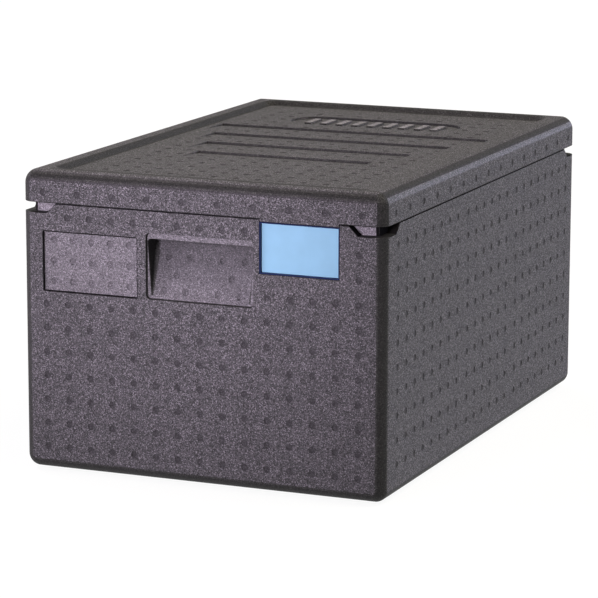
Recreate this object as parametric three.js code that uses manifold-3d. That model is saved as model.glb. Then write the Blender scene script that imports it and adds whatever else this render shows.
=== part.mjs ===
// Top-loading insulated food carrier for one full-size gastronorm pan, in expanded
// polypropylene foam: a body, a lift-off lid, and an identification card in a push-fit clip.
// Millimetres, +Z up. The origin is the centre of the base, +Y runs along the length, and the
// end that holds the clip faces -Y. Body and lid are the same after half a turn about Z.

import * as THREE from 'three';
import { mergeVertices } from 'three/addons/utils/BufferGeometryUtils.js';
import Module from 'manifold-3d';

// Outer box
const WIDTH = 400;
const LENGTH = 600;
const HEIGHT = 316;
const CORNER_RADIUS = 13;
const EDGE_RADIUS = 12.5;
const LID_HEIGHT = 33.6;
const SEAM = HEIGHT - LID_HEIGHT;
const END = -LENGTH / 2;
const GAP = 0.3;

// Stacking plinth under the body, which sits in the recessed panel of the lid below
const PLINTH_HEIGHT = 3;
const PLINTH_SLOPE = 5;
const PLINTH_CLEARANCE = 2;

// Food cavity
const WALL = 31;
const CAVITY_FLOOR = 29;
const CAVITY_RADIUS = 28;
const CAVITY_EDGE = 10;
const CAVITY_DRAFT = 0.012;

// Lip around the cavity, which fits a groove under the lid
const LIP_SETBACK = 10;
const LIP_HEIGHT = 8;
const LIP_RADIUS = 4;
const GROOVE_DEPTH = 8.4;
const GROOVE_CLEARANCE = 0.6;
const PLUG_RISE = 3.6;

// Finger notches at the four corners of the body's rim, with 45 degree ends
const NOTCH_HEIGHT = 10;
const NOTCH_REACH = 29;

// Handle pocket in each end: a shallow recess, and behind it a finger cavity whose back is a ramp
const HANDLE_WIDTH = 118;
const HANDLE_BOTTOM = 191.8;
const HANDLE_TOP = 259.8;
const HANDLE_RECESS = 3;
const FINGER_TOP = 253.2;
const FINGER_DEPTH = 24;
const FINGER_UNDERCUT = 8;
const FINGER_INSET_TOP = 0.8;
const FINGER_INSET_BOTTOM = 5;
const RAMP_TOP = FINGER_TOP - 6;

// Label recess in each end
const LABEL_CENTRE = -122.4;
const LABEL_WIDTH = 105;
const LABEL_BOTTOM = 192;
const LABEL_HEIGHT = 61;
const LABEL_RECESS = 2;

// Clip slot in each end, open at the seam, where a tab of the lid closes it
const SLOT_CENTRE = 108.4;
const SLOT_WIDTH = 86.2;
const SLOT_BOTTOM = 227;
const SLOT_DEPTH = 5.8;
const TAB_DROP = 2.8;
const TAB_DEPTH = 5.2;

// Clip, a shallow tray, and the card in it
const CLIP_WALL = 1;
const CLIP_FLOOR = 1.4;
const CLIP_SETBACK = 0.2;
const CARD_THICKNESS = 0.6;
const CARD_CENTRE_DEPTH = 3.4;

// Top of the lid: a rim around a recessed panel
const RIM_SIDE = 25;
const RIM_END = 20;
const PANEL_DEPTH = 5.5;
const PANEL_SLOPE = 7;
const PANEL_RADIUS = 14;
const PANEL = HEIGHT - PANEL_DEPTH;

// Steps across the panel, each a wedge that is deepest at its back wall
const STEP_COUNT = 4;
const STEP_FIRST = -83;
const STEP_PITCH = 66;
const STEP_LENGTH = 56;
const STEP_DEPTH = 2.6;
const STEP_FIRST_WIDTH = 200;
const STEP_WIDENING = 40;

// Stadium recess behind the steps, with a row of plain ribs
const STADIUM_CENTRE = 180;
const STADIUM_WIDTH = 202;
const STADIUM_LENGTH = 62;
const STADIUM_DEPTH = 2.6;
const RIB_COUNT = 9;
const RIB_PITCH = 19;
const RIB_WIDTH = 9;
const RIB_LENGTH = 34;

const wasm = await Module();
wasm.setup();

function solid(geometry) {
  const bare = geometry.clone();
  bare.deleteAttribute('normal');
  bare.deleteAttribute('uv');
  const merged = mergeVertices(bare);
  const vertProperties = new Float32Array(merged.attributes.position.array);
  const triVerts = new Uint32Array(merged.index.array);
  return new wasm.Manifold(new wasm.Mesh({ numProp: 3, vertProperties, triVerts }));
}

function named(name, shape, material) {
  const { vertProperties, triVerts } = shape.getMesh();
  const geometry = new THREE.BufferGeometry();
  geometry.setAttribute('position', new THREE.BufferAttribute(vertProperties, 3));
  geometry.setIndex(new THREE.BufferAttribute(triVerts, 1));
  geometry.computeVertexNormals();
  const mesh = new THREE.Mesh(geometry, material);
  mesh.name = name;
  return mesh;
}

function roundedRectangle(width, length, radius) {
  const x = width / 2 - radius;
  const y = length / 2 - radius;
  const shape = new THREE.Shape();
  shape.absarc(x, y, radius, 0, Math.PI / 2);
  shape.absarc(-x, y, radius, Math.PI / 2, Math.PI);
  shape.absarc(-x, -y, radius, Math.PI, 1.5 * Math.PI);
  shape.absarc(x, -y, radius, 1.5 * Math.PI, 2 * Math.PI);
  return shape;
}

function polygon(points) {
  return new THREE.Shape(points.map(([x, y]) => new THREE.Vector2(x, y)));
}

// An upright block with rounded corners, and edges rounded or sloped at top and bottom.
function block(width, length, radius, low, high, edge = {}) {
  const { inset = 0, rise = 0, steps = 1 } = edge;
  const geometry = new THREE.ExtrudeGeometry(roundedRectangle(width, length, radius), {
    depth: high - low - 2 * rise,
    curveSegments: 3,
    bevelEnabled: inset > 0,
    bevelSize: inset,
    bevelOffset: -inset,
    bevelThickness: rise,
    bevelSegments: steps,
  });
  return geometry.translate(0, 0, low + rise);
}

// An outline drawn in X and Z, extruded along Y.
function alongY(shape, low, high) {
  const geometry = new THREE.ExtrudeGeometry(shape, { depth: high - low, bevelEnabled: false });
  return geometry.rotateX(Math.PI / 2).translate(0, high, 0);
}

// An outline drawn in Y and Z, extruded along X.
function alongX(shape, low, high) {
  const geometry = new THREE.ExtrudeGeometry(shape, { depth: high - low, bevelEnabled: false });
  return geometry.rotateX(Math.PI / 2).rotateZ(Math.PI / 2).translate(low, 0, 0);
}

function box(x, y, z) {
  const geometry = new THREE.BoxGeometry(x[1] - x[0], y[1] - y[0], z[1] - z[0]);
  return geometry.translate((x[0] + x[1]) / 2, (y[0] + y[1]) / 2, (z[0] + z[1]) / 2);
}

function turned(geometry) {
  return geometry.clone().rotateZ(Math.PI);
}

function unturned(geometry) {
  return geometry;
}

function cutFrom(shape, geometries) {
  return geometries.reduce((rest, geometry) => rest.subtract(solid(geometry)), shape);
}

function addTo(shape, geometries) {
  return geometries.reduce((whole, geometry) => whole.add(solid(geometry)), shape);
}

// The outside of the closed carrier, without its plinth.
function envelope() {
  const edge = { inset: EDGE_RADIUS, rise: EDGE_RADIUS, steps: 5 };
  return solid(block(WIDTH, LENGTH, CORNER_RADIUS, PLINTH_HEIGHT, HEIGHT, edge));
}

function wholeSlice(low, high) {
  return box([-WIDTH, WIDTH], [-LENGTH, LENGTH], [low, high]);
}

// The plinth fits inside the foot of the panel's slope.
function plinth() {
  const inset = PANEL_SLOPE + PLINTH_CLEARANCE;
  const width = WIDTH - 2 * (RIM_SIDE + inset);
  const length = LENGTH - 2 * (RIM_END + inset);
  const edge = { inset: PLINTH_SLOPE, rise: PLINTH_HEIGHT };
  return block(width, length, PANEL_RADIUS, 0, 3 * PLINTH_HEIGHT, edge);
}

// The cavity narrows towards its floor.
function cavity() {
  const edge = { inset: CAVITY_EDGE, rise: CAVITY_EDGE, steps: 3 };
  const top = HEIGHT + CAVITY_EDGE;
  const [width, length] = [WIDTH - 2 * WALL, LENGTH - 2 * WALL];
  const geometry = block(width, length, CAVITY_RADIUS, CAVITY_FLOOR, top, edge);
  const position = geometry.attributes.position;
  for (let i = 0; i < position.count; i += 1) {
    const drawIn = CAVITY_DRAFT * (SEAM - position.getZ(i));
    position.setX(i, position.getX(i) * (1 - (2 * drawIn) / width));
    position.setY(i, position.getY(i) * (1 - (2 * drawIn) / length));
  }
  return geometry;
}

function lip() {
  const [width, length] = [WIDTH - 2 * LIP_SETBACK, LENGTH - 2 * LIP_SETBACK];
  const edge = { inset: 1.5, rise: 1.5 };
  return block(width, length, LIP_RADIUS, SEAM - 2 * NOTCH_HEIGHT, SEAM + LIP_HEIGHT, edge);
}

function cornerNotches() {
  const floor = SEAM - NOTCH_HEIGHT;
  const above = SEAM + NOTCH_HEIGHT;
  const cuts = [];
  for (const side of [-1, 1]) {
    const outline = (half) => polygon([
      [side * (half + 1), floor],
      [side * (half - NOTCH_REACH), floor],
      [side * (half - NOTCH_REACH - 2 * NOTCH_HEIGHT), above],
      [side * (half + 1), above],
    ]);
    const atEnd = alongY(outline(WIDTH / 2), END - 1, END + LIP_SETBACK + 1);
    const atSide = alongX(outline(LENGTH / 2), WIDTH / 2 - LIP_SETBACK - 1, WIDTH / 2 + 1);
    cuts.push(atEnd, turned(atEnd), atSide, turned(atSide));
  }
  return cuts;
}

function handleRecess() {
  const half = HANDLE_WIDTH / 2;
  return box([-half, half], [END - 1, END + HANDLE_RECESS], [HANDLE_BOTTOM, HANDLE_TOP]);
}

// The finger cavity goes up behind the recess, and its back ramps out to the recess below.
function fingerCavity(place) {
  const back = END + FINGER_DEPTH;
  const profile = polygon([
    [END, FINGER_TOP],
    [END + 6, FINGER_TOP],
    [END + 9, FINGER_TOP + FINGER_UNDERCUT],
    [back - 2, FINGER_TOP + FINGER_UNDERCUT],
    [back, FINGER_TOP + FINGER_UNDERCUT - 2],
    [back, RAMP_TOP],
    [END + HANDLE_RECESS, HANDLE_BOTTOM + 1.5],
    [END, HANDLE_BOTTOM + 1.5],
  ]);
  const top = HANDLE_WIDTH / 2 - FINGER_INSET_TOP;
  const bottom = HANDLE_WIDTH / 2 - FINGER_INSET_BOTTOM;
  const front = polygon([
    [-bottom, HANDLE_BOTTOM],
    [bottom, HANDLE_BOTTOM],
    [top, RAMP_TOP],
    [top, HANDLE_TOP + FINGER_UNDERCUT],
    [-top, HANDLE_TOP + FINGER_UNDERCUT],
    [-top, RAMP_TOP],
  ]);
  const fromSide = solid(place(alongX(profile, -HANDLE_WIDTH / 2, HANDLE_WIDTH / 2)));
  return fromSide.intersect(solid(place(alongY(front, END - 1, back + 1))));
}

function labelRecess() {
  const half = LABEL_WIDTH / 2;
  const height = [LABEL_BOTTOM, LABEL_BOTTOM + LABEL_HEIGHT];
  return box([LABEL_CENTRE - half, LABEL_CENTRE + half], [END - 1, END + LABEL_RECESS], height);
}

function clipSlot() {
  const half = SLOT_WIDTH / 2;
  const width = [SLOT_CENTRE - half, SLOT_CENTRE + half];
  return box(width, [END - 1, END + SLOT_DEPTH], [SLOT_BOTTOM, SEAM + 1]);
}

function body(material) {
  const endCuts = [handleRecess(), labelRecess(), clipSlot()];
  let shape = cutFrom(envelope(), [wholeSlice(SEAM, 2 * HEIGHT)]);
  shape = cutFrom(shape, cornerNotches());
  shape = addTo(shape, [lip(), plinth()]);
  shape = cutFrom(shape, [cavity(), ...endCuts, ...endCuts.map(turned)]);
  shape = shape.subtract(fingerCavity(unturned)).subtract(fingerCavity(turned));
  return named('body', shape, material);
}

function steps() {
  const wedges = [];
  for (let i = 0; i < STEP_COUNT; i += 1) {
    const back = STEP_FIRST + i * STEP_PITCH;
    const half = (STEP_FIRST_WIDTH + i * STEP_WIDENING) / 2;
    const outline = polygon([
      [back - STEP_LENGTH, PANEL],
      [back, PANEL - STEP_DEPTH],
      [back, PANEL + 1],
      [back - STEP_LENGTH, PANEL + 1],
    ]);
    wedges.push(alongX(outline, -half, half));
  }
  return wedges;
}

function stadium() {
  const radius = STADIUM_LENGTH / 2 - 0.5;
  const low = PANEL - STADIUM_DEPTH;
  const geometry = block(STADIUM_WIDTH, STADIUM_LENGTH, radius, low, PANEL + 1);
  return geometry.translate(0, STADIUM_CENTRE, 0);
}

function ribs() {
  const low = PANEL - 2 * STADIUM_DEPTH;
  const high = PANEL - 0.4;
  const length = [STADIUM_CENTRE - RIB_LENGTH / 2, STADIUM_CENTRE + RIB_LENGTH / 2];
  return Array.from({ length: RIB_COUNT }, (_, i) => {
    const centre = (i - (RIB_COUNT - 1) / 2) * RIB_PITCH;
    return box([centre - RIB_WIDTH / 2, centre + RIB_WIDTH / 2], length, [low, high]);
  });
}

function panelRecess() {
  const [width, length] = [WIDTH - 2 * RIM_SIDE, LENGTH - 2 * RIM_END];
  const edge = { inset: PANEL_SLOPE, rise: PANEL_DEPTH };
  return block(width, length, PANEL_RADIUS, PANEL, HEIGHT + PANEL_DEPTH, edge);
}

// The groove under the lid takes the body's lip, and leaves a shallow plug inside it.
function groove() {
  const outer = LIP_SETBACK - GROOVE_CLEARANCE;
  const [width, length] = [WIDTH - 2 * outer, LENGTH - 2 * outer];
  return block(width, length, LIP_RADIUS, SEAM - 1, SEAM + GROOVE_DEPTH);
}

function plug() {
  const inset = WALL + 2 * GROOVE_CLEARANCE;
  const [width, length] = [WIDTH - 2 * inset, LENGTH - 2 * inset];
  const low = SEAM + PLUG_RISE;
  return block(width, length, CAVITY_RADIUS, low, SEAM + GROOVE_DEPTH + 1);
}

function tab() {
  const half = SLOT_WIDTH / 2 - GAP;
  const width = [SLOT_CENTRE - half, SLOT_CENTRE + half];
  return box(width, [END, END + TAB_DEPTH], [SEAM - TAB_DROP, SEAM + 1]);
}

function lid(material) {
  let shape = cutFrom(envelope(), [wholeSlice(-HEIGHT, SEAM + GAP), groove()]);
  shape = addTo(shape, [plug(), tab(), turned(tab())]);
  shape = cutFrom(shape, [panelRecess(), ...steps(), stadium()]);
  return named('lid', addTo(shape, ribs()), material);
}

const clipX = [SLOT_CENTRE - SLOT_WIDTH / 2 + GAP, SLOT_CENTRE + SLOT_WIDTH / 2 - GAP];
const clipY = [END + CLIP_SETBACK, END + SLOT_DEPTH - GAP];
const clipZ = [SLOT_BOTTOM + GAP, SEAM - TAB_DROP - GAP];

function shrink([low, high], by) {
  return [low + by, high - by];
}

function idClip(material) {
  const hollow = box(
    shrink(clipX, CLIP_WALL),
    [clipY[0] - 1, clipY[1] - CLIP_FLOOR],
    shrink(clipZ, CLIP_WALL),
  );
  return named('id_clip', solid(box(clipX, clipY, clipZ)).subtract(solid(hollow)), material);
}

function idCard(material) {
  const depth = END + CARD_CENTRE_DEPTH;
  const thickness = [depth - CARD_THICKNESS / 2, depth + CARD_THICKNESS / 2];
  const edge = CLIP_WALL + GAP;
  return named('id_card', solid(box(shrink(clipX, edge), thickness, shrink(clipZ, edge))), material);
}

const foam = new THREE.MeshStandardMaterial({ color: 0x4a464b, roughness: 0.85, metalness: 0 });
const navy = new THREE.MeshStandardMaterial({ color: 0x123a7a, roughness: 0.45, metalness: 0 });
const blue = new THREE.MeshStandardMaterial({ color: 0x9dc4ea, roughness: 0.5, metalness: 0 });

const carrier = new THREE.Group();
carrier.add(body(foam), lid(foam), idClip(navy), idCard(blue));

export default carrier;
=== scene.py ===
"""Insulated food carrier: foam body and lift-off lid, identification clip and card."""
import math

import bmesh
import bpy
from mathutils import Euler, Matrix, Vector
from mathutils.kdtree import KDTree


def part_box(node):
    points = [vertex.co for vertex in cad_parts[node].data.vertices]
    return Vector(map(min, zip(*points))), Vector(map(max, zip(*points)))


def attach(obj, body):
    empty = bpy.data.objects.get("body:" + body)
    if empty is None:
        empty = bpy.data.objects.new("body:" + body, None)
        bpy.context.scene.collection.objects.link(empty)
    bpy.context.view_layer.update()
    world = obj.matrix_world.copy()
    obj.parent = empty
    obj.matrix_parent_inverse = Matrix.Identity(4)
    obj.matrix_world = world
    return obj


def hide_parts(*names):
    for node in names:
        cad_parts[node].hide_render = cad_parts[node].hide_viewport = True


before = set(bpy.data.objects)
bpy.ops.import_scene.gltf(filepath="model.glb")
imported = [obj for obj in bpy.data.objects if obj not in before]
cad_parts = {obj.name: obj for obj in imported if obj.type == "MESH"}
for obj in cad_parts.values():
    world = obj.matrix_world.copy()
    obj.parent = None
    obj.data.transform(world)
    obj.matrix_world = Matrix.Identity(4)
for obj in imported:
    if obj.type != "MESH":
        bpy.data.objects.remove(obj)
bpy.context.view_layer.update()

# All shapes are worked out in millimetres and stored in metres.
MM = 0.001


def box_mm(node):
    low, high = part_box(node)
    return [c / MM for c in low], [c / MM for c in high]


body_low, body_high = box_mm("body")
lid_low, lid_high = box_mm("lid")
clip_low, clip_high = box_mm("id_clip")
card_low, card_high = box_mm("id_card")

# Outer box, from the frame
WIDTH = body_high[0] - body_low[0]
LENGTH = body_high[1] - body_low[1]
TOP = lid_high[2]
END = body_low[1]
SIDE = body_high[0]

# Outer shell
CORNER_RADIUS = 13
BASE_EDGE = 14
LID_EDGE = 14.5
SEAM_EDGE = 0.8
SEAM_GAP = 0.3

# Lip, groove and plug
LIP_HEIGHT = 8
LIP_SETBACK = 10
LIP_RADIUS = 4
LIP_ROOT = 20
GROOVE_DEPTH = 8.4
GROOVE_CLEARANCE = 0.6
PLUG_RISE = 3.6
PLUG_EDGE = 1.2
SEAM = body_high[2] - LIP_HEIGHT

# Plinth and cavity
PLINTH_HEIGHT = 3
PLINTH_SLOPE = 5
WALL = 31
CAVITY_FLOOR = 29
CAVITY_RADIUS = 28
CAVITY_EDGE = 10
CAVITY_DRAFT = 0.012
LIP_EDGE = 1.5

# Corner notches
NOTCH_HEIGHT = 10
NOTCH_REACH = 29
NOTCH_MOUTH = 0.6
NOTCH_RADIUS = 1.2

# Handle pocket
HANDLE_WIDTH = 118
HANDLE_BOTTOM = 191.8
HANDLE_TOP = 259.8
HANDLE_RECESS = 3
HANDLE_RADIUS = 4.5
FINGER_RADIUS = 3
FINGER_RADIUS_GROWTH = 12
FINGER_TOP = 253.2
FINGER_BOTTOM = HANDLE_BOTTOM + 1.5
FINGER_DEPTH = 24
FINGER_UNDERCUT = 8
FINGER_MOUTH = 0.6
FINGER_INSET_TOP = 0.8
FINGER_INSET_BOTTOM = 5
RAMP_TOP = FINGER_TOP - 6

# Rings of the finger cavity: the depth, and how much of the undercut the top edge has risen
FINGER_LEVELS = (
    (HANDLE_RECESS - 1, 0), (HANDLE_RECESS, 0), (HANDLE_RECESS + 0.2, 0),
    (HANDLE_RECESS + FINGER_MOUTH, 0), (5, 0), (7, 0.12), (8, 0.45),
    (9, 0.8), (10.5, 1), (14, 1), (18, 1), (20.5, 0.95), (22.5, 0.8),
    (FINGER_DEPTH - 0.5, 0.55), (FINGER_DEPTH, 0.3),
)

# Label recess
LABEL_CENTRE = -122.4
LABEL_WIDTH = 105
LABEL_BOTTOM = 192
LABEL_HEIGHT = 61
LABEL_RECESS = 2
LABEL_MOUTH = 1.2

# Clip slot, and the tab of the lid that closes it
SLOT_CENTRE = (clip_low[0] + clip_high[0]) / 2
SLOT_WIDTH = clip_high[0] - clip_low[0] + 2 * SEAM_GAP
SLOT_BOTTOM = clip_low[2] - SEAM_GAP
SLOT_DEPTH = 5.8
TAB_DROP = SEAM - lid_low[2]
TAB_DEPTH = 5.2
TAB_CHAMFER = 0.5
TAB_RADIUS = 0.6

# Clip and card
CLIP_WALL = 1
CLIP_FLOOR = 1.4
CLIP_CHAMFER = 0.25
CLIP_RADIUS = 0.6
CLIP_MOUTH = 0.2
CLIP_INNER_RADIUS = 0.4
CARD_CHAMFER = 0.15
CARD_RADIUS = 0.8

# Lid panel
RIM_SIDE = 25
RIM_END = 20
PANEL_DEPTH = 5.5
PANEL_SLOPE = 7
PANEL_RADIUS = 14
RIM_LINE = 5.5
RIM_LINE_DEPTH = 0.1
STEP_COUNT = 4
STEP_FIRST = -83
STEP_PITCH = 66
STEP_LENGTH = 56
STEP_DEPTH = 2.6
STEP_CURVE = 1.6
STEP_FIRST_WIDTH = 200
STEP_WIDENING = 40

# A step's back wall: distances behind the step's end, and heights above its floor (the foot)
# or above the panel (the top)
STEP_WALL_FOOT = ((-0.8, 0), (-0.1, 0.5))
STEP_WALL_TOP = ((0, -0.6), (0.3, -0.1), (0.8, 0), (0.8, 1))

# Stadium recess and its ribs
STADIUM_CENTRE = 180
STADIUM_WIDTH = 202
STADIUM_LENGTH = 62
STADIUM_DEPTH = 2.6
RIB_COUNT = 9
RIB_PITCH = 19
RIB_WIDTH = 9
RIB_LENGTH = 34
RIB_DROP = 0.4
RIB_EDGE = 0.8
RIB_RADIUS = 1.6

# The plinth stands inside the rim of the lid below it
PLINTH_CLEARANCE = 2

# Vent marks. The profile is the depth of each ring and the growth of its radius.
VENT_RADIUS = 3.1
VENT_DEPTH = 0.6
VENT_PROFILE = ((-1, 0.9), (0, 0.7), (0.12, 0.3), (0.35, 0), (VENT_DEPTH, -0.6))
VENT_PITCH = 24.6
END_ROW_FIRST = 27.5
END_ROW_PITCH = 25.1
END_ROW_TOP = 268.5
SIDE_ROW_FIRST = 37.3
SIDE_ROW_PITCH = 24.85
SIDE_GROUP_START = 93.2
LABEL_VENT_PITCH = 21.3
LABEL_VENT_SHIFT = 1
LID_VENT_PITCH = 38.9
LID_VENT_RISE = 10.8
LID_ROW_FIRST = -236
LID_ROW_PITCH = 25.6
LID_ROW_COUNT = 19
RAMP_VENT_ROWS = (
    (200.5, (-42, -18, 18, 42)),
    (216.5, (-30.5, 30.5)),
    (233.5, (-42, -18, 18, 42)),
)

# The lid's vent marks keep this far from a step's back wall, its sides and ends, and the stadium
WALL_CLEARANCE = 5
STEP_SIDE_CLEARANCE = 4.5
STEP_END_CLEARANCE = 4

# A face is square to an axis when its normal's part along that axis is above SQUARE. Levels
# within SAME, in millimetres, count as one. Edges above SHARP_ANGLE, in degrees, stay sharp.
SQUARE = 0.9999
SAME = 0.01
SHARP_ANGLE = 32


# Outlines and solids -------------------------------------------------------------------------

def grown(points, by):
    """A convex counter-clockwise polygon with its sides moved out by a distance."""
    result = []
    count = len(points)
    for i, (x, y) in enumerate(points):
        (ax, ay), (bx, by_) = points[i - 1], points[(i + 1) % count]
        ux, uy = x - ax, y - ay
        vx, vy = bx - x, by_ - y
        lu, lv = math.hypot(ux, uy), math.hypot(vx, vy)
        nx, ny = uy / lu + vy / lv, -ux / lu - vx / lv
        scale = by * 2 / (nx * nx + ny * ny)
        result.append((x + nx * scale, y + ny * scale))
    return result


def rounded(points, radius, segments=6):
    """A convex counter-clockwise polygon with each corner replaced by an arc."""
    result = []
    count = len(points)
    for i, (x, y) in enumerate(points):
        (ax, ay), (bx, by) = points[i - 1], points[(i + 1) % count]
        start = math.atan2(ax - x, y - ay)
        end = math.atan2(x - bx, by - y)
        turn = (end - start) % (2 * math.pi)
        ux, uy = x - ax, y - ay
        length = math.hypot(ux, uy)
        back = radius * math.tan(turn / 2)
        px, py = x - ux / length * back, y - uy / length * back
        cx, cy = px - uy / length * radius, py + ux / length * radius
        for k in range(segments + 1):
            angle = start + turn * k / segments
            result.append((cx + radius * math.cos(angle), cy + radius * math.sin(angle)))
    return result


def rectangle(low, high):
    return [(low[0], low[1]), (high[0], low[1]), (high[0], high[1]), (low[0], high[1])]


def centred(width, length, centre=(0, 0)):
    x, y = centre
    return rectangle((x - width / 2, y - length / 2), (x + width / 2, y + length / 2))


def circle(centre, radius, segments=16):
    angles = [2 * math.pi * k / segments for k in range(segments)]
    return [(centre[0] + radius * math.cos(a), centre[1] + radius * math.sin(a)) for a in angles]


def arc(radius, steps=5):
    """Sines and cosines of a quarter turn, times the radius."""
    angles = [math.pi / 2 * k / steps for k in range(steps + 1)]
    return [(radius * math.sin(a), radius * math.cos(a)) for a in angles]


def stack(rings):
    """Vertices and faces of a closed solid through rings that have the same number of points."""
    count = len(rings[0])
    vertices = [point for ring in rings for point in ring]
    faces = [list(range(count))[::-1]]
    for level in range(len(rings) - 1):
        low, high = level * count, (level + 1) * count
        for i in range(count):
            j = (i + 1) % count
            faces.append([low + i, low + j, high + j, high + i])
    faces.append([(len(rings) - 1) * count + i for i in range(count)])
    return vertices, faces


# Points at a depth below an outer face. Each takes two coordinates along the face and the depth.

def on_top(u, v, depth):
    return (u, v, TOP - depth)


def on_end(u, v, depth):
    return (u, END + depth, v)


def on_far_end(u, v, depth):
    return (-u, -END - depth, v)


def on_side(u, v, depth):
    return (SIDE - depth, u, v)


def on_far_side(u, v, depth):
    return (-SIDE + depth, -u, v)


def sunk(outline, profile, place):
    """A solid through rings of outline(growth), each at its depth below a face."""
    rings = []
    for depth, growth in profile:
        rings.append([place(u, v, depth) for u, v in outline(growth)])
    return stack(rings)


def recess_profile(depth, mouth=0.8, foot=0.6):
    """Depth and growth of a straight-walled recess with a rounded mouth and foot."""
    points = [(-1, mouth + 0.2)]
    points += [(mouth - c, mouth - s) for s, c in arc(mouth, 4)]
    points += [(depth - foot + s, c - foot) for s, c in arc(foot, 3)]
    return points


def joined(solids):
    vertices, faces = [], []
    for solid_vertices, solid_faces in solids:
        base = len(vertices)
        vertices += solid_vertices
        faces += [[base + i for i in face] for face in solid_faces]
    return vertices, faces


def mesh_object(name, solids):
    vertices, faces = joined(solids)
    mesh = bpy.data.meshes.new(name)
    mesh.from_pydata([[c * MM for c in v] for v in vertices], [], faces)
    orient(mesh)
    obj = bpy.data.objects.new(name, mesh)
    bpy.context.scene.collection.objects.link(obj)
    return obj


def orient(mesh):
    shape = bmesh.new()
    shape.from_mesh(mesh)
    bmesh.ops.recalc_face_normals(shape, faces=shape.faces)
    shape.to_mesh(mesh)
    shape.free()


def combine(obj, operation, solids):
    """Join solids to an object or cut them from it, and keep only the resulting mesh."""
    tool = mesh_object("tool", solids)
    modifier = obj.modifiers.new("combine", "BOOLEAN")
    modifier.operation = operation
    modifier.solver = "MANIFOLD"
    modifier.object = tool
    graph = bpy.context.evaluated_depsgraph_get()
    result = bpy.data.meshes.new_from_object(obj.evaluated_get(graph))
    obj.modifiers.clear()
    old = obj.data
    obj.data = result
    result.name = obj.name
    bpy.data.meshes.remove(old)
    bpy.data.objects.remove(tool)


# Foam mouldings ------------------------------------------------------------------------------

def shell_ring(inset, z):
    points = centred(WIDTH - 2 * inset, LENGTH - 2 * inset)
    corner = max(CORNER_RADIUS - inset, 0.2)
    return [(x, y, z) for x, y in rounded(points, corner, 12)]


def body_shell():
    base = [(BASE_EDGE - s, PLINTH_HEIGHT + BASE_EDGE - c) for s, c in arc(BASE_EDGE, 12)]
    rim = [(SEAM_EDGE - c, SEAM - SEAM_EDGE + s) for s, c in arc(SEAM_EDGE, 3)]
    return stack([shell_ring(inset, z) for inset, z in base + rim])


def lid_shell():
    low = SEAM + SEAM_GAP
    skirt = [(SEAM_EDGE - s, low + SEAM_EDGE - c) for s, c in arc(SEAM_EDGE, 3)]
    top = [(LID_EDGE - c, TOP - LID_EDGE + s) for s, c in arc(LID_EDGE, 12)]
    return stack([shell_ring(inset, z) for inset, z in skirt + top])


def upright(side, end, radius, levels):
    """A rounded block inside the outer box, as rings at a height with an extra inset each."""
    rings = []
    for extra, z in levels:
        points = centred(WIDTH - 2 * (side + extra), LENGTH - 2 * (end + extra))
        corner = max(radius - extra, 0.2)
        rings.append([(x, y, z) for x, y in rounded(points, corner, 8)])
    return stack(rings)


def plinth():
    inset = PANEL_SLOPE + PLINTH_CLEARANCE
    levels = [(PLINTH_SLOPE, 0), (0.6, PLINTH_HEIGHT - 0.4), (0, PLINTH_HEIGHT + 0.4)]
    levels.append((0, 3 * PLINTH_HEIGHT))
    return upright(RIM_SIDE + inset, RIM_END + inset, PANEL_RADIUS, levels)


def lip():
    top = SEAM + LIP_HEIGHT
    crown = [(LIP_EDGE - c, top - LIP_EDGE + s) for s, c in arc(LIP_EDGE, 4)]
    return upright(LIP_SETBACK, LIP_SETBACK, LIP_RADIUS, [(0, SEAM - LIP_ROOT)] + crown)


def cavity():
    """The hollow inside: rounded at the floor and at the lip, with walls that lean outwards."""
    top = SEAM + LIP_HEIGHT
    levels = [(CAVITY_EDGE - s, CAVITY_FLOOR + CAVITY_EDGE - c) for s, c in arc(CAVITY_EDGE, 8)]
    levels += [(s - LIP_EDGE, top - c) for s, c in arc(LIP_EDGE, 4)]
    levels.sort(key=lambda level: level[1])
    levels = [(inset + CAVITY_DRAFT * (SEAM - z), z) for inset, z in levels]
    levels.append((-LIP_EDGE - 0.5, top + 2))
    return upright(WALL, WALL, CAVITY_RADIUS, levels)


def corner_notches(half, places):
    """Cutters at both edges of the faces given by places. Half is half the width of a face."""
    floor, above = SEAM - NOTCH_HEIGHT, SEAM + NOTCH_HEIGHT
    profile = [(-1, 0.8), (0, NOTCH_MOUTH), (NOTCH_MOUTH, 0), (LIP_SETBACK + 1, 0)]
    far = half - NOTCH_REACH
    right = [(far, floor), (half + 2, floor), (half + 2, above), (far - 2 * NOTCH_HEIGHT, above)]
    left = [(-x, z) for x, z in right[::-1]]
    cutters = []
    for points in (right, left):
        def outline(growth, points=points):
            return rounded(grown(points, growth), NOTCH_RADIUS + growth, 4)
        cutters += [sunk(outline, profile, place) for place in places]
    return cutters


def plain_recess(points, radius, depth, place, mouth=0.8, foot=0.6):
    """A cutter for a recess of even depth, with rounded corners, mouth and foot."""
    def outline(growth):
        return rounded(grown(points, growth), max(radius + growth, 0.1))
    return sunk(outline, recess_profile(depth, mouth, foot), place)


def handle_recess(place):
    points = rectangle((-HANDLE_WIDTH / 2, HANDLE_BOTTOM), (HANDLE_WIDTH / 2, HANDLE_TOP))
    return plain_recess(points, HANDLE_RADIUS, HANDLE_RECESS, place)


def label_recess(place):
    points = centred(LABEL_WIDTH, LABEL_HEIGHT, (LABEL_CENTRE, LABEL_BOTTOM + LABEL_HEIGHT / 2))
    return plain_recess(points, 0.6, LABEL_RECESS, place, LABEL_MOUTH, 0.3)


def clip_slot(place):
    half = SLOT_WIDTH / 2
    points = rectangle((SLOT_CENTRE - half, SLOT_BOTTOM), (SLOT_CENTRE + half, SEAM + 3))
    return plain_recess(points, 0.4, SLOT_DEPTH, place, 0.4, 0.2)


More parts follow.
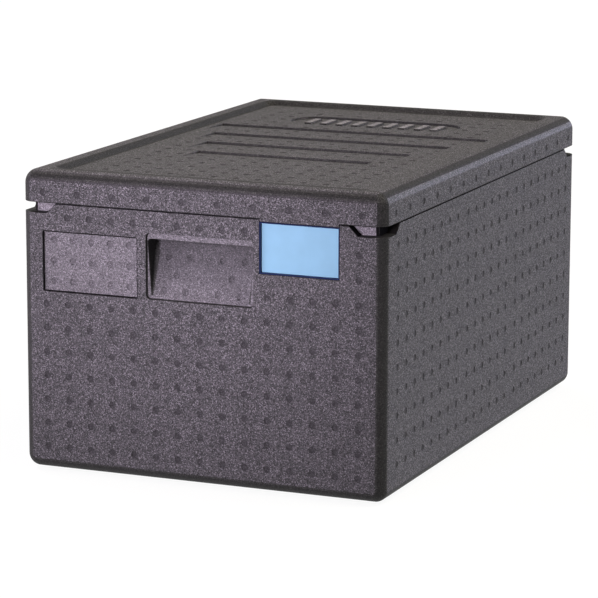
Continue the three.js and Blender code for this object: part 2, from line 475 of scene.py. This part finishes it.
def finger_cavity(place):
    """Rings at growing depth: the bottom climbs the ramp, the top goes up behind the recess."""
    rings = []
    top_half = HANDLE_WIDTH / 2 - FINGER_INSET_TOP
    bottom_half = HANDLE_WIDTH / 2 - FINGER_INSET_BOTTOM
    for depth, rise in FINGER_LEVELS:
        share = max(0, (depth - HANDLE_RECESS) / (FINGER_DEPTH - HANDLE_RECESS))
        bottom = FINGER_BOTTOM + (RAMP_TOP - FINGER_BOTTOM) * share
        half = bottom_half + (top_half - bottom_half) * share
        top = FINGER_TOP + FINGER_UNDERCUT * rise
        points = [(-half, bottom), (half, bottom), (top_half, top), (-top_half, top)]
        radius = min(FINGER_RADIUS + FINGER_RADIUS_GROWTH * share, (top - bottom) / 2 - 0.2)
        inside = min(max(depth - HANDLE_RECESS, 0), FINGER_MOUTH)
        mouth = FINGER_MOUTH - math.sqrt(inside * (2 * FINGER_MOUTH - inside))
        outline = rounded(grown(points, mouth), radius + mouth, 8)
        rings.append([place(u, v, depth) for u, v in outline])
    return stack(rings)


def vent(spot):
    """A shallow round dimple. A spot is its centre in a face, and that face."""
    centre, place = spot

    def outline(growth):
        return circle(centre, VENT_RADIUS + growth)
    return sunk(outline, VENT_PROFILE, place)


def deeper(place, by):
    """The same face, lowered."""
    return lambda u, v, depth: place(u, v, depth + by)


def ramp(place):
    """The back of the finger cavity, which goes deeper as it rises."""
    rise = RAMP_TOP - FINGER_BOTTOM
    run = FINGER_DEPTH - HANDLE_RECESS
    length = math.hypot(rise, run)

    def lowered(u, v, depth):
        level = HANDLE_RECESS + run * (v - FINGER_BOTTOM) / rise
        return place(u, v - depth * run / length, level + depth * rise / length)
    return lowered


def end_spots(place):
    """Full rows below the recesses, what fits round them, and the label pad and the ramp."""
    spots = []
    for row in range(7):
        z = END_ROW_FIRST + END_ROW_PITCH * row
        spots += [(VENT_PITCH * column, z) for column in range(-7, 8)]
    rows_above = [END_ROW_FIRST + END_ROW_PITCH * row for row in (7, 8, 9)]
    spots += [(VENT_PITCH * column, rows_above[0]) for column in range(3, 8)]
    spots += [(VENT_PITCH * 7, z) for z in rows_above[1:]]
    spots += [(VENT_PITCH * column, END_ROW_TOP) for column in range(-6, 3)]
    middle_x = LABEL_CENTRE + LABEL_VENT_SHIFT
    middle_z = LABEL_BOTTOM + LABEL_HEIGHT / 2 + LABEL_VENT_SHIFT
    for column in range(-2, 3):
        for row in range(-1, 2):
            spot = (middle_x + LABEL_VENT_PITCH * column, middle_z + LABEL_VENT_PITCH * row)
            yield spot, deeper(place, LABEL_RECESS)
    for z, columns in RAMP_VENT_ROWS:
        for x in columns:
            yield (x, z), ramp(place)
    for spot in spots:
        yield spot, place


def side_spots(place):
    """Columns near the middle and towards both ends, with a plain band between them."""
    near = [VENT_PITCH * (k + 0.5) for k in range(3)]
    far = [SIDE_GROUP_START + VENT_PITCH * k for k in range(8)]
    for y in near + far:
        for row in range(10):
            z = SIDE_ROW_FIRST + SIDE_ROW_PITCH * row
            yield (y, z), place
            yield (-y, z), place


def body_spots():
    spots = []
    for place in (on_end, on_far_end):
        spots += end_spots(place)
    for place in (on_side, on_far_side):
        spots += side_spots(place)
    return spots


def make_body():
    """Solids that overlap are combined one after another, because a tool may not cross itself."""
    ends, sides = (on_end, on_far_end), (on_side, on_far_side)
    recesses = (handle_recess, label_recess, clip_slot)
    body = mesh_object("carrier_body", [body_shell()])
    combine(body, "DIFFERENCE", corner_notches(WIDTH / 2, ends))
    combine(body, "DIFFERENCE", corner_notches(LENGTH / 2, sides))
    combine(body, "UNION", [lip()])
    combine(body, "UNION", [plinth()])
    combine(body, "DIFFERENCE", [cavity()])
    combine(body, "DIFFERENCE", [recess(place) for recess in recesses for place in ends])
    combine(body, "DIFFERENCE", [finger_cavity(place) for place in ends])
    combine(body, "DIFFERENCE", [vent(spot) for spot in body_spots()])
    return body


def panel_recess():
    """The panel's edge is an S-curve from the rim down to the floor of the recess."""
    levels = []
    for k in range(11):
        share = k / 10
        levels.append((PANEL_SLOPE * share, TOP - PANEL_DEPTH * (share * share * (3 - 2 * share))))
    levels = [(-0.6, TOP + 1)] + levels
    return upright(RIM_SIDE, RIM_END, PANEL_RADIUS, levels)


def rim_lines():
    """A shallow line along the inner edge of the rim at each end."""
    middle = LENGTH / 2 - RIM_END + RIM_LINE / 2
    cutters = []
    for y in (-middle, middle):
        points = centred(WIDTH - 2 * RIM_SIDE, RIM_LINE, (0, y))
        low = [(u, v, TOP - RIM_LINE_DEPTH) for u, v in points]
        high = [(u, v, TOP + 1) for u, v in points]
        cutters.append(stack([low, high]))
    return cutters


def step_plan():
    """For each step, the place of its back wall along the lid and half its width."""
    for i in range(STEP_COUNT):
        yield STEP_FIRST + i * STEP_PITCH, (STEP_FIRST_WIDTH + i * STEP_WIDENING) / 2


def step_depth(share):
    """A step's floor falls away slowly at first and is deepest at its back wall."""
    return STEP_DEPTH * share ** STEP_CURVE


def steps():
    panel = TOP - PANEL_DEPTH
    floor = panel - STEP_DEPTH
    cutters = []
    for back, half in step_plan():
        front = back - STEP_LENGTH
        profile = [(front, panel + 1)]
        for k in range(8):
            share = k / 8
            profile.append((front + STEP_LENGTH * share, panel - step_depth(share)))
        profile += [(back + behind, floor + rise) for behind, rise in STEP_WALL_FOOT]
        profile += [(back + behind, panel + rise) for behind, rise in STEP_WALL_TOP]
        cutters.append(stack([[(x, y, z) for y, z in profile] for x in (-half, half)]))
    return cutters


def stadium():
    points = centred(STADIUM_WIDTH, STADIUM_LENGTH, (0, STADIUM_CENTRE))

    def outline(growth):
        return rounded(grown(points, growth), STADIUM_LENGTH / 2 - 0.5 + growth, 16)

    def on_panel(u, v, depth):
        return on_top(u, v, depth + PANEL_DEPTH)
    return sunk(outline, recess_profile(STADIUM_DEPTH, 0.5, 0.5), on_panel)


def ribs():
    solids = []
    base = TOP - PANEL_DEPTH - 2 * STADIUM_DEPTH
    crest = TOP - PANEL_DEPTH - RIB_DROP
    levels = [(0, base)]
    levels += [(RIB_EDGE - c, crest - RIB_EDGE + s) for s, c in arc(RIB_EDGE, 3)]
    for i in range(RIB_COUNT):
        x = (i - (RIB_COUNT - 1) / 2) * RIB_PITCH
        rings = []
        for inset, z in levels:
            size = (RIB_WIDTH - 2 * inset, RIB_LENGTH - 2 * inset)
            points = centred(*size, (x, STADIUM_CENTRE))
            rings.append([(u, v, z) for u, v in rounded(points, RIB_RADIUS - inset, 4)])
        solids.append(stack(rings))
    return solids


def panel_drop(x, y):
    """How far the surface at a point of the panel lies below the panel."""
    for back, half in step_plan():
        if abs(x) <= half and back - STEP_LENGTH <= y <= back:
            return step_depth((y - back + STEP_LENGTH) / STEP_LENGTH)
    return 0


def clear_of_details(x, y):
    """True where a vent mark on the panel would not touch a step's edge or the stadium."""
    for back, half in step_plan():
        if abs(y - back) < WALL_CLEARANCE and abs(x) < half + WALL_CLEARANCE:
            return False
        along = back - STEP_LENGTH - STEP_END_CLEARANCE < y < back + STEP_END_CLEARANCE
        if along and abs(abs(x) - half) < STEP_SIDE_CLEARANCE:
            return False
    near_stadium = abs(y - STADIUM_CENTRE) < STADIUM_LENGTH / 2 + WALL_CLEARANCE
    return not (near_stadium and abs(x) < STADIUM_WIDTH / 2 + WALL_CLEARANCE)


def lid_spots():
    level = SEAM + LID_VENT_RISE
    spots = []
    for place in (on_end, on_far_end):
        spots += [((LID_VENT_PITCH * (k + 0.5), level), place) for k in range(-5, 5)]
    for place in (on_side, on_far_side):
        spots += [((LID_VENT_PITCH * k, level), place) for k in range(-7, 8)]
    for column in range(-6, 6):
        for row in range(LID_ROW_COUNT):
            x, y = VENT_PITCH * (column + 0.5), LID_ROW_FIRST + LID_ROW_PITCH * row
            if clear_of_details(x, y):
                spots.append(((x, y), deeper(on_top, PANEL_DEPTH + panel_drop(x, y))))
    return spots


def groove():
    levels = [(0, SEAM - 1), (0, SEAM + GROOVE_DEPTH)]
    inset = LIP_SETBACK - GROOVE_CLEARANCE
    return upright(inset, inset, LIP_RADIUS, levels)


def plug():
    low = SEAM + PLUG_RISE
    levels = [(PLUG_EDGE - s, low + PLUG_EDGE - c) for s, c in arc(PLUG_EDGE, 3)]
    levels.append((0, SEAM + GROOVE_DEPTH + 1))
    inset = WALL + 2 * GROOVE_CLEARANCE
    return upright(inset, inset, CAVITY_RADIUS, levels)


def tab(place):
    """The part of the lid that closes the top of the clip slot."""
    half = SLOT_WIDTH / 2 - SEAM_GAP
    points = rectangle((SLOT_CENTRE - half, SEAM - TAB_DROP), (SLOT_CENTRE + half, SEAM + 1.5))
    profile = [(0, -TAB_CHAMFER), (TAB_CHAMFER, 0), (TAB_DEPTH, 0)]
    return sunk(lambda growth: rounded(grown(points, growth), TAB_RADIUS), profile, place)


def make_lid():
    lid = mesh_object("carrier_lid", [lid_shell()])
    combine(lid, "DIFFERENCE", [groove()])
    combine(lid, "UNION", [plug()])
    combine(lid, "UNION", [tab(on_end), tab(on_far_end)])
    combine(lid, "DIFFERENCE", [panel_recess()])
    combine(lid, "DIFFERENCE", rim_lines())
    combine(lid, "DIFFERENCE", steps())
    combine(lid, "DIFFERENCE", [stadium()])
    combine(lid, "UNION", ribs())
    combine(lid, "DIFFERENCE", [vent(spot) for spot in lid_spots()])
    return lid


# Clip and card -------------------------------------------------------------------------------

def plate(low, high, chamfer, radius):
    """A plate that fills a box, parallel to the end face, with chamfers and rounded corners."""
    points = rectangle((low[0], low[2]), (high[0], high[2]))
    front, back = low[1] - END, high[1] - END
    profile = [(front, -chamfer), (front + chamfer, 0), (back - chamfer, 0), (back, -chamfer)]
    return sunk(lambda growth: rounded(grown(points, growth), radius + growth), profile, on_end)


def make_clip():
    """A plate hollowed from the front, which leaves a tray for the card."""
    clip = mesh_object("clip_tray", [plate(clip_low, clip_high, CLIP_CHAMFER, CLIP_RADIUS)])
    outer = rectangle((clip_low[0], clip_low[2]), (clip_high[0], clip_high[2]))
    inner = grown(outer, -CLIP_WALL)
    front, back = clip_low[1] - END, clip_high[1] - END
    profile = [(front - 1, CLIP_MOUTH), (front, CLIP_MOUTH), (front + CLIP_MOUTH, 0)]
    profile.append((back - CLIP_FLOOR, 0))
    hollow = sunk(lambda growth: rounded(grown(inner, growth), CLIP_INNER_RADIUS), profile, on_end)
    combine(clip, "DIFFERENCE", [hollow])
    return clip


def make_card():
    return mesh_object("card_face", [plate(card_low, card_high, CARD_CHAMFER, CARD_RADIUS)])


# Materials -----------------------------------------------------------------------------------

def new_material(name, roughness, specular):
    material = bpy.data.materials.new(name)
    material.use_nodes = True
    nodes = material.node_tree.nodes
    shader = nodes["Principled BSDF"]
    shader.inputs["Roughness"].default_value = roughness
    shader.inputs["Specular IOR Level"].default_value = specular
    return material, nodes, material.node_tree.links, shader


def maths(nodes, links, operation, first, second):
    """A Math node. Each input is a number or the output of another node."""
    node = nodes.new("ShaderNodeMath")
    node.operation = operation
    for socket, value in zip(node.inputs, (first, second)):
        if isinstance(value, (int, float)):
            socket.default_value = value
        else:
            links.new(value, socket)
    return node.outputs[0]


def noise(nodes, links, place, scale, detail):
    node = nodes.new("ShaderNodeTexNoise")
    node.inputs["Scale"].default_value = scale
    node.inputs["Detail"].default_value = detail
    links.new(place, node.inputs["Vector"])
    return node.outputs["Fac"]


# Foam beads are Voronoi cells, this many to a metre. A fine noise, whose scale is relative to
# the cells, and a broad one shift each bead's tone by their shares of the ramp.
BEADS_PER_METRE = 1200
FINE_SCALE = 1.7
FINE_SHARE = 0.3
BROAD_SCALE = 45
BROAD_SHARE = 0.12
PIT_SHARE = 1.2
PURPLISH = (1.0, 0.91, 1.0)
WARM = (1.0, 0.95, 0.93)


def foam(name, tones, gain, roughness, specular, bump_height, cells=BEADS_PER_METRE, tint=PURPLISH):
    """Moulded bead foam: each cell is a bead with a random tone from a ramp of tones.

    Tones are (place on the ramp, brightness), gain scales their brightness, and bump_height is
    in millimetres.
    """
    material, nodes, links, shader = new_material(name, roughness, specular)
    place = nodes.new("ShaderNodeTexCoord").outputs["Object"]
    beads = nodes.new("ShaderNodeTexVoronoi")
    beads.inputs["Scale"].default_value = cells
    links.new(place, beads.inputs["Vector"])
    split = nodes.new("ShaderNodeSeparateColor")
    links.new(beads.outputs["Color"], split.inputs["Color"])
    fine = noise(nodes, links, place, cells * FINE_SCALE, 1)
    broad = noise(nodes, links, place, BROAD_SCALE, 3)
    uneven = maths(nodes, links, "MULTIPLY", fine, FINE_SHARE)
    patches = maths(nodes, links, "MULTIPLY", broad, BROAD_SHARE)
    uneven = maths(nodes, links, "ADD", uneven, patches)
    value = maths(nodes, links, "ADD", split.outputs["Red"], uneven)
    value = maths(nodes, links, "SUBTRACT", value, (FINE_SHARE + BROAD_SHARE) / 2)
    ramp = nodes.new("ShaderNodeValToRGB")
    stops = ramp.color_ramp.elements
    while len(stops) < len(tones):
        stops.new(0.5)
    for stop, (position, tone) in zip(stops, tones):
        stop.position = position
        stop.color = (*[tone * gain * c for c in tint], 1)
    links.new(value, ramp.inputs["Fac"])
    links.new(ramp.outputs["Color"], shader.inputs["Base Color"])
    bump = nodes.new("ShaderNodeBump")
    bump.inputs["Strength"].default_value = 1
    bump.inputs["Distance"].default_value = bump_height * MM
    pits = maths(nodes, links, "MULTIPLY", beads.outputs["Distance"], PIT_SHARE)
    links.new(maths(nodes, links, "SUBTRACT", fine, pits), bump.inputs["Height"])
    links.new(bump.outputs["Normal"], shader.inputs["Normal"])
    return material


def paint_shade_upwards(material, low, high, gains):
    """Painted shade: scale a material's colour by gains[0] at the low height and gains[1] at the high
    one.
    """
    nodes, links = material.node_tree.nodes, material.node_tree.links
    shader = nodes["Principled BSDF"]
    split = nodes.new("ShaderNodeSeparateXYZ")
    links.new(nodes["Texture Coordinate"].outputs["Object"], split.inputs["Vector"])
    level = nodes.new("ShaderNodeMapRange")
    level.inputs["From Min"].default_value = low * MM
    level.inputs["From Max"].default_value = high * MM
    level.inputs["To Min"].default_value = gains[0]
    level.inputs["To Max"].default_value = gains[1]
    links.new(split.outputs["Z"], level.inputs["Value"])
    scale = nodes.new("ShaderNodeVectorMath")
    scale.operation = "SCALE"
    links.new(shader.inputs["Base Color"].links[0].from_socket, scale.inputs["Vector"])
    links.new(level.outputs["Result"], scale.inputs["Scale"])
    links.new(scale.outputs["Vector"], shader.inputs["Base Color"])
    return material


PLASTIC_BROAD_SCALE = 60
PLASTIC_GRAIN_SCALE = 1400
PLASTIC_GRAIN_HEIGHT = 0.02
CLIP_NAVY = (0.003, 0.012, 0.07)
CARD_BLUE = (0.208, 0.42, 0.565)


def plastic(name, colour, roughness, specular):
    """Moulded plastic: slight unevenness in colour and gloss, and a fine surface grain."""
    material, nodes, links, shader = new_material(name, roughness, specular)
    place = nodes.new("ShaderNodeTexCoord").outputs["Object"]
    broad = noise(nodes, links, place, PLASTIC_BROAD_SCALE, 3)
    fine = noise(nodes, links, place, PLASTIC_GRAIN_SCALE, 2)
    ramp = nodes.new("ShaderNodeValToRGB")
    for stop, position, gain in zip(ramp.color_ramp.elements, (0.3, 0.7), (0.96, 1.04)):
        stop.position = position
        stop.color = (*[min(1, c * gain) for c in colour], 1)
    links.new(broad, ramp.inputs["Fac"])
    links.new(ramp.outputs["Color"], shader.inputs["Base Color"])
    uneven = maths(nodes, links, "MULTIPLY", broad, 0.2)
    links.new(maths(nodes, links, "ADD", uneven, roughness - 0.1), shader.inputs["Roughness"])
    bump = nodes.new("ShaderNodeBump")
    bump.inputs["Distance"].default_value = PLASTIC_GRAIN_HEIGHT * MM
    links.new(fine, bump.inputs["Height"])
    links.new(bump.outputs["Normal"], shader.inputs["Normal"])
    return material


COARSE_TONES = ((0, 0.008), (0.22, 0.018), (0.45, 0.06), (0.6, 0.075), (0.8, 0.1), (1, 0.27))
EVEN_TONES = ((0, 0.02), (0.15, 0.06), (0.5, 0.09), (0.8, 0.11), (1, 0.22))
SMOOTH_TONES = ((0, 0.85), (1, 1.15))
# The ramp of the finger cavity is painted darker towards its top: painted shade under the overhang.
RAMP_SHADE_GAINS = (1.35, 0.6)

# Places in the list that foam_materials returns
GRAIN, GLOSS, VENT_AND_SHADE, PAD, PAD_VENT, RAMP, RAMP_VENT, PAINTED_LIGHT, EDGE_SHADE, SKIN_AND_SHADE, GAP_SHADE = range(11)


def foam_materials():
    """In the order of the names above. Edges and walls: the dense skin of the moulding plus painted
    shade.
    """
    ramp = foam("foam_ramp", EVEN_TONES, 1, 0.75, 0.5, 0.2)
    ramp_vent = foam("foam_ramp_vent", EVEN_TONES, 0.72, 0.75, 0.4, 0.2)
    # Painted shade: the ramp's foams darken towards the top of the finger cavity.
    for material in (ramp, ramp_vent):
        paint_shade_upwards(material, HANDLE_BOTTOM, FINGER_TOP, RAMP_SHADE_GAINS)
    # name, tones, gain, roughness, specular, bump height
    return [
        foam("foam_grain", COARSE_TONES, 1, 0.75, 0.5, 0.35),
        foam("foam_gloss", COARSE_TONES, 1, 0.55, 0.6, 0.25),
        foam("foam_vent_and_shade", EVEN_TONES, 0.48, 0.8, 0.3, 0.2),
        foam("foam_pad", EVEN_TONES, 1.4, 0.75, 0.5, 0.15),
        foam("foam_pad_vent", EVEN_TONES, 1.06, 0.8, 0.4, 0.15),
        ramp,
        ramp_vent,
        # Painted light on the lip's ends and the ribs' tops
        foam("foam_painted_light", EVEN_TONES, 2.4, 0.75, 0.5, 0.15),
        foam("foam_edge_shade", EVEN_TONES, 0.4, 0.7, 0.25, 0.12, tint=WARM),
        foam("foam_skin_and_shade", EVEN_TONES, 0.24, 0.6, 0.2, 0.08, tint=WARM),
        # Painted shade in joints and hollows
        foam("foam_gap_shade", SMOOTH_TONES, 0.01, 0.9, 0.05, 0.03, 500),
    ]


def vent_finder(spots):
    """Tells whether a face, given by its corners, belongs to a vent mark."""
    tree = KDTree(len(spots))
    for i, ((u, v), place) in enumerate(spots):
        tree.insert(place(u, v, 0), i)
    tree.balance()

    def in_vent(points):
        nearest = [tree.find(point / MM) for point in points]
        one_vent = len({index for _, index, _ in nearest}) == 1
        return one_vent and max(distance for _, _, distance in nearest) < VENT_RADIUS + 1
    return in_vent


def paint(obj, materials, choose):
    """Give each face the material that choose picks from the face and its corners."""
    mesh = obj.data
    mesh.materials.clear()
    for material in materials:
        mesh.materials.append(material)
    for face in mesh.polygons:
        face.material_index = choose(face, [mesh.vertices[i].co for i in face.vertices])


def shade(obj):
    """Faces square to an axis are flat, and everything else is smooth up to a sharp edge."""
    mesh = obj.data
    mesh.polygons.foreach_set("use_smooth", [True] * len(mesh.polygons))
    mesh.set_sharp_from_angle(angle=math.radians(SHARP_ANGLE))
    for face in mesh.polygons:
        if max(abs(c) for c in face.normal) > SQUARE:
            face.use_smooth = False
    mesh.update()


# How square to a side or end the outer faces are: the flats with the start of the corners'
# roundings, and a strip beyond that, which is painted darker as shade. They lie within a thin
# layer of the outer box.
FLAT_SPREAD = 0.978
STRIP_SPREAD = 0.93
OUTER_LAYER = 1.5


def on_outer_face(x, y, nx, ny, spread=FLAT_SPREAD):
    """True on the four upright faces and the first degrees of the rounded corners."""
    on_side_face = nx > spread and abs(x) > SIDE - OUTER_LAYER
    return on_side_face or (ny > spread and abs(y) > -END - OUTER_LAYER)


# The sideways part of a face's normal: above the first two it is a side wall, at the pocket's
# mouth and behind it, and below the third it belongs to the ramp.
MOUTH_WALL = 0.3
POCKET_WALL = 0.75
POCKET_RAMP = 0.25


def pocket_surface(depth, z, normal):
    """A light ramp, with shade painted dark on its walls and in a line down each side of its mouth.
    """
    if depth < HANDLE_RECESS:
        return GRAIN if z > HANDLE_TOP - 1 else SKIN_AND_SHADE
    if depth < HANDLE_RECESS + FINGER_MOUTH:
        return SKIN_AND_SHADE if abs(normal.x) > MOUTH_WALL else RAMP
    if normal.z < -0.1 or abs(normal.x) > POCKET_WALL:
        return SKIN_AND_SHADE
    return RAMP if abs(normal.x) < POCKET_RAMP else EDGE_SHADE


def in_label_recess(x, z):
    across = abs(x - LABEL_CENTRE) < LABEL_WIDTH / 2 + LABEL_MOUTH
    return across and abs(z - LABEL_BOTTOM - LABEL_HEIGHT / 2) < LABEL_HEIGHT / 2 + LABEL_MOUTH


def body_surface(face, corners):
    """The foam of a face of the body, from where it is and which way it faces."""
    x, y, z = [c / MM for c in face.center]
    nx, ny, nz = [abs(c) for c in face.normal]
    depth = -END - abs(y)
    if in_body_vent(corners):
        if not HANDLE_BOTTOM < z < FINGER_TOP or abs(x) > SIDE - 2 or depth < LABEL_RECESS - 0.2:
            return VENT_AND_SHADE
        return PAD_VENT if depth < HANDLE_RECESS else RAMP_VENT
    # The label recess's walls are painted near black: painted shade.
    if SAME < depth < LABEL_RECESS - SAME and in_label_recess(x * y / END, z):
        return GAP_SHADE
    if on_outer_face(x, y, nx, ny) and z < SEAM - SEAM_EDGE:
        return GRAIN
    if on_outer_face(x, y, nx, ny, STRIP_SPREAD) and z < SEAM - SEAM_EDGE:
        return EDGE_SHADE
    if ny > SQUARE and min(abs(depth - d) for d in (LABEL_RECESS, HANDLE_RECESS)) < SAME:
        return PAD
    # The lip's ends in the corner notches get the lighter foam: painted light.
    if z > SEAM - NOTCH_HEIGHT and ny > SQUARE and abs(depth - LIP_SETBACK) < SAME:
        return PAINTED_LIGHT
    in_pocket = abs(x) < HANDLE_WIDTH / 2 + 1 and HANDLE_BOTTOM - 1 < z < HANDLE_TOP + FINGER_UNDERCUT
    if in_pocket and SAME < depth < FINGER_DEPTH + 0.1:
        return pocket_surface(depth, z, face.normal)
    on_rim = abs(x) > SIDE - LIP_SETBACK - 1 or depth < LIP_SETBACK + 1
    if on_rim and SEAM - NOTCH_HEIGHT - 0.7 < z < SEAM + 0.1:
        # The notches' walls and the seam's rounding are painted near black, and the notch floors
        # dark: painted shade.
        if nz < SQUARE:
            return GAP_SHADE
        return SKIN_AND_SHADE if z < SEAM - 1 else GRAIN
    if abs(x) < WIDTH / 2 - WALL + 5 and abs(y) < LENGTH / 2 - WALL + 5:
        return GRAIN
    if nz > SQUARE and z < PLINTH_HEIGHT + SAME:
        return GRAIN
    # Everything else, such as the rounded corners and the base edge, gets dark skin foam: moulded
    # skin with painted shade.
    return SKIN_AND_SHADE


# Bands of the lid's rounded edge, along its sides and its ends: each is the surface of the
# facets whose normal's upward part is below its number. The darker bands are painted shade.
SIDE_ROUNDING = (0.56, GLOSS), (0.68, VENT_AND_SHADE), (0.88, EDGE_SHADE), (0.93, VENT_AND_SHADE), (1.01, GRAIN)
END_ROUNDING = (
    (0.25, GRAIN), (0.4, VENT_AND_SHADE), (0.5, EDGE_SHADE), (0.7, SKIN_AND_SHADE), (0.8, EDGE_SHADE), (0.88, VENT_AND_SHADE), (1.01, GRAIN)
)

# The flat top of the lid starts this far inside its sides and its ends.
TOP_INSET_SIDE = 12
TOP_INSET_END = 6


def rounding_surface(nz, bands):
    """The surface of a facet whose normal's upward part is nz."""
    return next(surface for top, surface in bands if nz < top)


def lid_surface(face, corners):
    """The foam of a face of the lid, from where it is and which way it faces."""
    if in_lid_vent(corners):
        return VENT_AND_SHADE
    x, y, z = [c / MM for c in face.center]
    nx, ny, nz = [abs(c) for c in face.normal]
    on_tab = z < SEAM and abs(abs(x) - SLOT_CENTRE) < SLOT_WIDTH / 2 - 1
    if on_outer_face(x, y, nx, ny) and (z > SEAM + SEAM_EDGE or on_tab):
        return GRAIN
    if z > TOP - LID_EDGE and 0.1 < nz < 0.999:
        # The rounded edge takes its bands, the darker ones painted shade.
        if SIDE - abs(x) < LID_EDGE and ny < 0.2:
            return rounding_surface(nz, SIDE_ROUNDING)
        if -END - abs(y) < LID_EDGE and nx < 0.2:
            return rounding_surface(nz, END_ROUNDING)
    if nz > SQUARE and abs(TOP - RIM_LINE_DEPTH - z) < SAME:
        return SKIN_AND_SHADE
    inside = abs(x) < SIDE - TOP_INSET_SIDE and abs(y) < -END - TOP_INSET_END
    if inside and z > TOP - LID_EDGE and nz > 0.98:
        # The ribs' tops get the lighter foam: painted light.
        on_rib = abs(TOP - PANEL_DEPTH - RIB_DROP - z) < SAME and abs(x) < STADIUM_WIDTH / 2 - 2
        return PAINTED_LIGHT if on_rib and abs(y - STADIUM_CENTRE) < RIB_LENGTH / 2 else GRAIN
    # The panel's slopes and the steps' back walls are painted darker: painted shade.
    if z > TOP - PANEL_DEPTH - STEP_DEPTH - 0.1:
        return GRAIN if z < TOP - PANEL_DEPTH and nx > 0.7 and abs(x) < SIDE - LID_EDGE else EDGE_SHADE
    # The lid's edge at the seam is painted near black: painted shade in the joint.
    if z < SEAM + SEAM_EDGE:
        return GAP_SHADE
    if nz > SQUARE and z < TOP - LID_EDGE:
        return GRAIN
    return SKIN_AND_SHADE


# Scene ---------------------------------------------------------------------------------------

body = make_body()
lid = make_lid()
clip = make_clip()
card = make_card()

in_body_vent = vent_finder(body_spots())
in_lid_vent = vent_finder(lid_spots())
foams = foam_materials()
paint(body, foams, body_surface)
paint(lid, foams, lid_surface)
paint(clip, [plastic("clip_navy", CLIP_NAVY, 0.4, 0.2)], lambda face, corners: 0)
paint(card, [plastic("card_blue", CARD_BLUE, 0.5, 0.4)], lambda face, corners: 0)
for piece in (body, lid, clip, card):
    shade(piece)

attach(body, "body")
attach(lid, "lid")
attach(clip, "id_clip")
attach(card, "id_clip")
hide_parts("body")
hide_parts("lid")
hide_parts("id_clip")
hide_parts("id_card")


# The stage: the floor reaches this many metres from the origin
FLOOR_HALF = 30
FLOOR_TONE = (0.12, 0.12, 0.12, 1)
FLOOR_GLOW = 0.92
WORLD_GLOW = 0.15
SPOT_SIZE = 0.25

# Colours of the lights
BLUISH = (0.58, 0.62, 1.0)
PALE_BLUE = (0.7, 0.73, 1.0)
YELLOWISH = (1.0, 0.94, 0.71)
OFF_WHITE = (1.0, 0.98, 0.92)
PINKISH = (0.93, 0.84, 1.0)

# The camera that sees the carrier as the photograph does: lens and sensor in millimetres,
# tilt below the horizon, turn to the left and roll in degrees, and place in metres
LENS = 187.045
SENSOR = 36
TILT = 11.4093
TURN = 22.7862
ROLL = 0.1262
CAMERA_PLACE = (1.276126, -3.079572, 0.813538)


def add_floor():
    """A white floor that glows, so that it merges with the white background."""
    size = FLOOR_HALF
    mesh = bpy.data.meshes.new("floor")
    corners = [(-size, -size, 0), (size, -size, 0), (size, size, 0), (-size, size, 0)]
    mesh.from_pydata(corners, [], [(0, 1, 2, 3)])
    floor = bpy.data.objects.new("floor", mesh)
    bpy.context.scene.collection.objects.link(floor)
    floor.visible_diffuse = False
    material, nodes, links, shader = new_material("floor_white", 0.9, 0)
    shader.inputs["Base Color"].default_value = FLOOR_TONE
    shader.inputs["Emission Color"].default_value = (1, 1, 1, 1)
    shader.inputs["Emission Strength"].default_value = FLOOR_GLOW
    mesh.materials.append(material)


def aim(obj, direction):
    """Turn a light so that it shines along a direction, and put it in the scene."""
    obj.rotation_mode = "QUATERNION"
    obj.rotation_quaternion = Vector(direction).to_track_quat("-Z", "Y")
    bpy.context.scene.collection.objects.link(obj)


def add_sun(name, source, strength, colour, softness):
    """A distant light that comes from a direction, soft over an angle in degrees."""
    data = bpy.data.lights.new(name, "SUN")
    data.energy = strength
    data.color = colour
    data.angle = math.radians(softness)
    aim(bpy.data.objects.new(name, data), [-c for c in source])


def add_panel(name, place, target, size, power, colour):
    """A square light that the camera doesn't see. Its size is in metres."""
    data = bpy.data.lights.new(name, "AREA")
    data.energy = power
    data.color = colour
    data.size = size
    light = bpy.data.objects.new(name, data)
    light.location = place
    light.visible_camera = False
    aim(light, Vector(target) - Vector(place))


def add_spot(name, place, target, spread, power, colour):
    """A soft-edged beam whose full angle is the spread, in degrees."""
    data = bpy.data.lights.new(name, "SPOT")
    data.energy = power
    data.color = colour
    data.spot_size = math.radians(spread)
    data.spot_blend = 1
    data.shadow_soft_size = SPOT_SIZE
    light = bpy.data.objects.new(name, data)
    light.location = place
    aim(light, Vector(target) - Vector(place))


def add_camera():
    data = bpy.data.cameras.new("camera")
    data.lens = LENS
    data.sensor_width = SENSOR
    data.clip_end = 100
    camera = bpy.data.objects.new("camera", data)
    bpy.context.scene.collection.objects.link(camera)
    facing = Euler((math.radians(90 - TILT), 0, math.radians(TURN))).to_matrix()
    roll = Matrix.Rotation(math.radians(ROLL), 3, "Z")
    camera.matrix_world = Matrix.Translation(CAMERA_PLACE) @ (facing @ roll).to_4x4()
    bpy.context.scene.camera = camera


def add_world():
    world = bpy.data.worlds.new("studio")
    world.use_nodes = True
    background = world.node_tree.nodes["Background"]
    background.inputs["Color"].default_value = (1, 1, 1, 1)
    background.inputs["Strength"].default_value = WORLD_GLOW
    bpy.context.scene.world = world


add_floor()
add_world()
add_sun("right", (0.75, 0.35, 0.3), strength=0.5, colour=BLUISH, softness=40)
add_sun("upper_right", (0.6, 0.1, 0.8), strength=1.86, colour=YELLOWISH, softness=40)
add_sun("back_right", (0.4, 0.9, 0.14), strength=0.93, colour=PALE_BLUE, softness=16)
add_sun("back_left", (-0.6, 0.5, 0.6), strength=1.18, colour=OFF_WHITE, softness=40)
add_spot("front_beam", (-0.2, -1.6, 0.5), (0.0, -0.3, 0.27), spread=30, power=110, colour=PINKISH)
add_panel("front_left", (-0.9, -0.8, 0.3), (-0.05, -0.3, 0.15), size=0.5, power=7.4, colour=PINKISH)
add_camera()
bpy.context.scene.view_settings.view_transform = "Standard"
